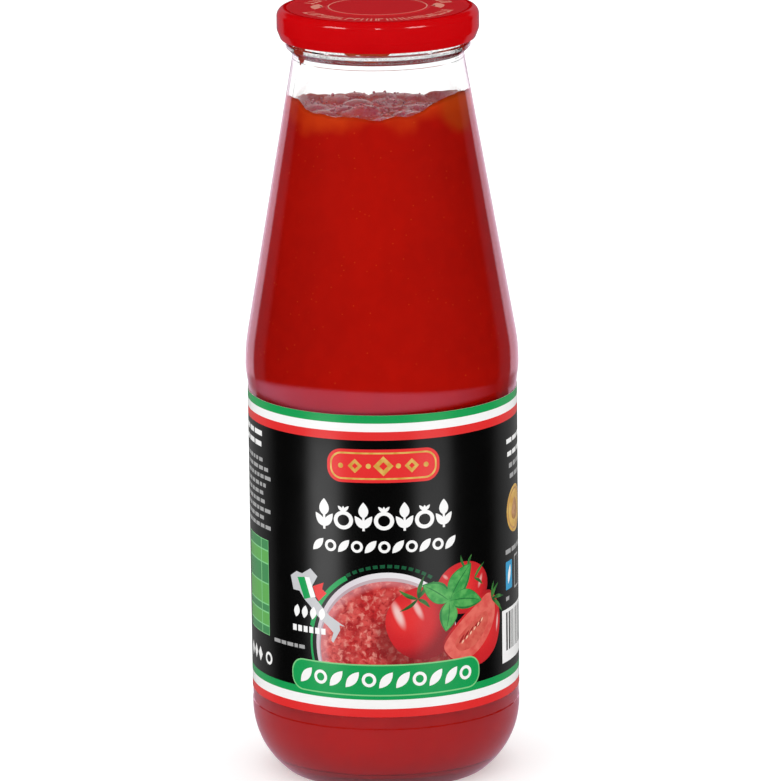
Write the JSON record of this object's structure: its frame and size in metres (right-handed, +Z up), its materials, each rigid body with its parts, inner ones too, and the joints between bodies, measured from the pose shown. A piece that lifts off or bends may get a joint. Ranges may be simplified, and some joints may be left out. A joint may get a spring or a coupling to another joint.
{
  "type": "passata bottle",
  "caption": "Filled clear glass bottle with a long sloping shoulder, a pressed red twist-off cap, a wrap-round paper label and smooth tomato passata inside.",
  "frame": {"origin": "centre of the ring that the bottle stands on, in the plane of the table", "axes": "+Z up along the bottle's axis, -Y towards the front of the label"},
  "size_m": [0.079, 0.079, 0.2245],
  "materials": {
    "clear_glass": "smooth clear flint glass",
    "tomato": "wet, finely pulpy tomato passata, seen through glass",
    "red_tinplate": "glossy red lacquer on pressed tinplate",
    "label_paper": "black printed label paper with a satin varnish"
  },
  "bodies": {
    "root": {"bottle": "clear_glass", "passata": "tomato", "cap": "red_tinplate", "label": "label_paper"}
  },
  "joints": []
}
